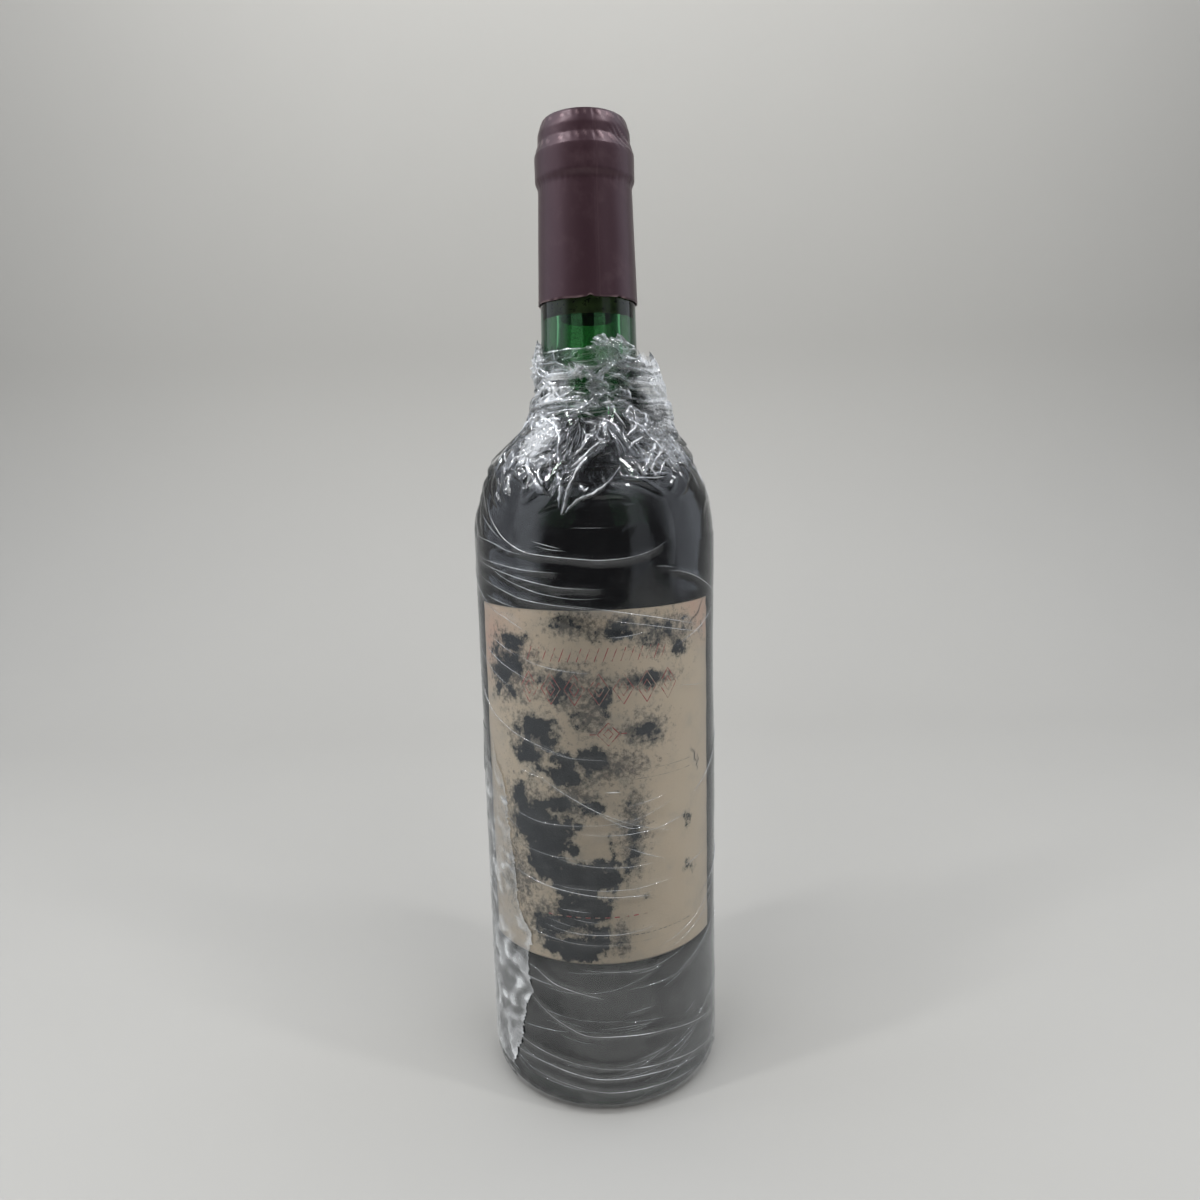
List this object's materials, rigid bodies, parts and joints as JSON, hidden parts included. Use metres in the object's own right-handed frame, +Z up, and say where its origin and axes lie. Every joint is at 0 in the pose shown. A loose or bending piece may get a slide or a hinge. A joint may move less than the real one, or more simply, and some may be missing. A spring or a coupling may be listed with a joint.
{
  "type": "wine bottle",
  "caption": "Corked wine bottle with straight sides, capsule, stained front label and a wrapping of clear film gathered at the neck.",
  "frame": {"origin": "centre of the ring the bottle stands on, on the supporting surface", "axes": "+Z up along the bottle's axis, -Y towards the front where the label is, +X to the right seen from the front"},
  "size_m": [0.077, 0.077, 0.3],
  "materials": {
    "glass_bottle": "dark green bottle glass, polished",
    "wine": "dark red wine, reads black through the glass",
    "cork": "natural cork, fine grained",
    "capsule": "satin burgundy foil, crimped and slightly dented",
    "label": "cream laid paper with dark mould stains",
    "film": "clear clinging film, creased and glossy"
  },
  "bodies": {
    "root": {"glass_bottle": "glass_bottle", "wine": "wine", "cork": "cork", "capsule": "capsule", "label": "label", "film": "film"}
  },
  "joints": []
}
